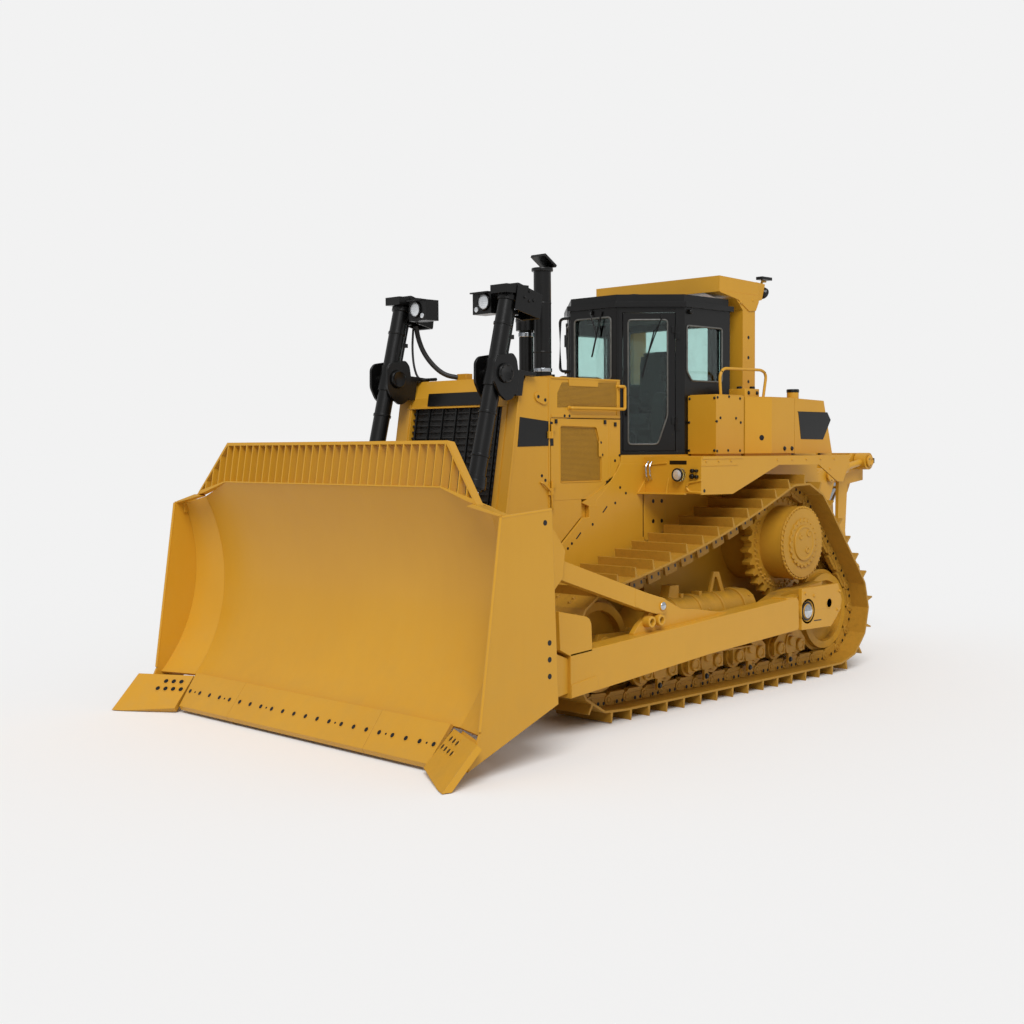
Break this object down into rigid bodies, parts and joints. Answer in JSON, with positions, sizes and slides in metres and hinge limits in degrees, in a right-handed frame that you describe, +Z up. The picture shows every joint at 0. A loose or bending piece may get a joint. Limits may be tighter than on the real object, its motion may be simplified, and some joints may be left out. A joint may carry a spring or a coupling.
{
  "type": "bulldozer",
  "caption": "Large track-type tractor with raised rear sprockets, semi-universal blade on push arms, enclosed cab under a roll-over canopy, and single-shank ripper behind.",
  "frame": {"origin": "on the ground under the centre of the bounding box", "axes": "-Y forward (blade end), +X to the machine's left side, +Z up"},
  "size_m": [4.3488, 8.1058, 4.0018],
  "materials": {
    "yellow_paint": "satin",
    "black_paint": "satin",
    "track_steel": "matte",
    "rod_chrome": "polished",
    "tinted_glass": "clear",
    "seat_cover": "matte",
    "dark_mesh": "matte"
  },
  "bodies": {
    "chassis": {"air_precleaner": "black_paint", "cab_floor": "black_paint", "cab_front": "black_paint", "cab_glass": "tinted_glass", "cab_rear": "black_paint", "cab_roof": "black_paint", "cab_sides": "black_paint", "engine_block": "black_paint", "equalizer_bar": "yellow_paint", "exhaust_stack": "black_paint", "fender_lamps": "tinted_glass", "fenders": "yellow_paint", "final_drives": "yellow_paint", "fuel_tank": "yellow_paint", "grille": "dark_mesh", "hood": "yellow_paint", "hood_rails": "yellow_paint", "idlers": "track_steel", "lift_yokes": "black_paint", "main_frame": "yellow_paint", "operator_seat": "seat_cover", "radiator_guard": "yellow_paint", "ripper_bracket": "yellow_paint", "rollers": "track_steel", "rollover_canopy": "yellow_paint", "side_boxes": "yellow_paint", "track_frame_left": "yellow_paint", "track_frame_right": "yellow_paint", "track_left": "track_steel", "track_right": "track_steel"},
    "blade": {"moldboard": "yellow_paint", "blade_wings": "yellow_paint", "end_bits": "yellow_paint", "end_plates": "yellow_paint", "cutting_edges": "yellow_paint", "spill_guard": "yellow_paint", "blade_box": "yellow_paint", "push_arm_left": "yellow_paint", "push_arm_right": "yellow_paint", "tilt_braces": "yellow_paint"},
    "lift_barrel_left": {"lift_barrel_left": "black_paint"},
    "lift_barrel_right": {"lift_barrel_right": "black_paint"},
    "lift_rod_left": {"lift_rod_left": "rod_chrome"},
    "lift_rod_right": {"lift_rod_right": "rod_chrome"},
    "cab_door_left": {"cab_door_left": "black_paint", "door_glass_left": "tinted_glass"},
    "cab_door_right": {"cab_door_right": "black_paint", "door_glass_right": "tinted_glass"},
    "engine_door_left": {"engine_door_left": "yellow_paint"},
    "engine_door_right": {"engine_door_right": "yellow_paint"},
    "ripper_links": {"ripper_links": "yellow_paint"},
    "ripper_carriage": {"ripper_carriage": "yellow_paint", "ripper_shank": "yellow_paint"},
    "ripper_tilt_cylinders": {"ripper_tilt_cylinders": "yellow_paint"},
    "ripper_lift_barrels": {"ripper_lift_barrels": "black_paint"},
    "ripper_lift_rods": {"ripper_lift_rods": "rod_chrome"}
  },
  "joints": [
    {"name": "blade_lift", "type": "hinge", "parent": "chassis", "child": "blade", "pos_m": [0, 1.04087, 0.716], "axis": [-1, 0, 0], "range_deg": [-7.2, 17]},
    {"name": "lift_barrel_left_swing", "type": "hinge", "parent": "chassis", "child": "lift_barrel_left", "pos_m": [0.666, -2.10613, 2.87], "axis": [-1, 0, 0], "range_deg": [-3, 6.5]},
    {"name": "lift_rod_left_slide", "type": "slide", "parent": "lift_barrel_left", "child": "lift_rod_left", "axis": [0, -0.2415, -0.9704], "range_m": [-1.08, 0.46]},
    {"name": "lift_barrel_right_swing", "type": "hinge", "parent": "chassis", "child": "lift_barrel_right", "pos_m": [-0.666, -2.10613, 2.87], "axis": [-1, 0, 0], "range_deg": [-3, 6.5]},
    {"name": "lift_rod_right_slide", "type": "slide", "parent": "lift_barrel_right", "child": "lift_rod_right", "axis": [0, -0.2415, -0.9704], "range_m": [-1.08, 0.46]},
    {"name": "cab_door_left_hinge", "type": "hinge", "parent": "chassis", "child": "cab_door_left", "pos_m": [0.70012, 0.25071, 2.868], "axis": [0, 0, 1], "range_deg": [0, 105]},
    {"name": "cab_door_right_hinge", "type": "hinge", "parent": "chassis", "child": "cab_door_right", "pos_m": [-0.70012, 0.25071, 2.868], "axis": [0, 0, -1], "range_deg": [0, 105]},
    {"name": "engine_door_left_hinge", "type": "hinge", "parent": "chassis", "child": "engine_door_left", "pos_m": [0.76, -1.51613, 2.15], "axis": [0, 0, -1], "range_deg": [0, 50]},
    {"name": "engine_door_right_hinge", "type": "hinge", "parent": "chassis", "child": "engine_door_right", "pos_m": [-0.76, -1.51613, 2.15], "axis": [0, 0, 1], "range_deg": [0, 50]},
    {"name": "ripper_lift", "type": "hinge", "parent": "chassis", "child": "ripper_links", "pos_m": [0, 2.73887, 0.729], "axis": [1, 0, 0], "range_deg": [-48, 6]},
    {"name": "ripper_carriage_hinge", "type": "hinge", "parent": "ripper_links", "child": "ripper_carriage", "pos_m": [0, 3.63887, 0.88], "axis": [1, 0, 0], "range_deg": [-6.5, 48.5]},
    {"name": "ripper_tilt_cylinder_swing", "type": "hinge", "parent": "chassis", "child": "ripper_tilt_cylinders", "pos_m": [0, 3.02587, 1.934], "axis": [1, 0, 0], "range_deg": [-48.5, 6.5]},
    {"name": "ripper_lift_barrel_swing", "type": "hinge", "parent": "chassis", "child": "ripper_lift_barrels", "pos_m": [0, 2.72887, 0.68], "axis": [1, 0, 0], "range_deg": [-23.5, 3.5]},
    {"name": "ripper_lift_rod_slide", "type": "slide", "parent": "ripper_lift_barrels", "child": "ripper_lift_rods", "axis": [0, 0.6802, 0.733], "range_m": [-0.58, 0.075]}
  ],
  "couplings": [
    {"joint": "lift_barrel_left_swing", "follows": "blade_lift", "ratio": 0.37},
    {"joint": "lift_rod_left_slide", "follows": "blade_lift", "m_per_rad": -3.61},
    {"joint": "lift_barrel_right_swing", "follows": "blade_lift", "ratio": 0.37},
    {"joint": "lift_rod_right_slide", "follows": "blade_lift", "m_per_rad": -3.61},
    {"joint": "ripper_carriage_hinge", "follows": "ripper_lift", "ratio": -1},
    {"joint": "ripper_tilt_cylinder_swing", "follows": "ripper_lift", "ratio": 1},
    {"joint": "ripper_lift_barrel_swing", "follows": "ripper_lift", "ratio": 0.467},
    {"joint": "ripper_lift_rod_slide", "follows": "ripper_lift", "m_per_rad": 0.68}
  ]
}
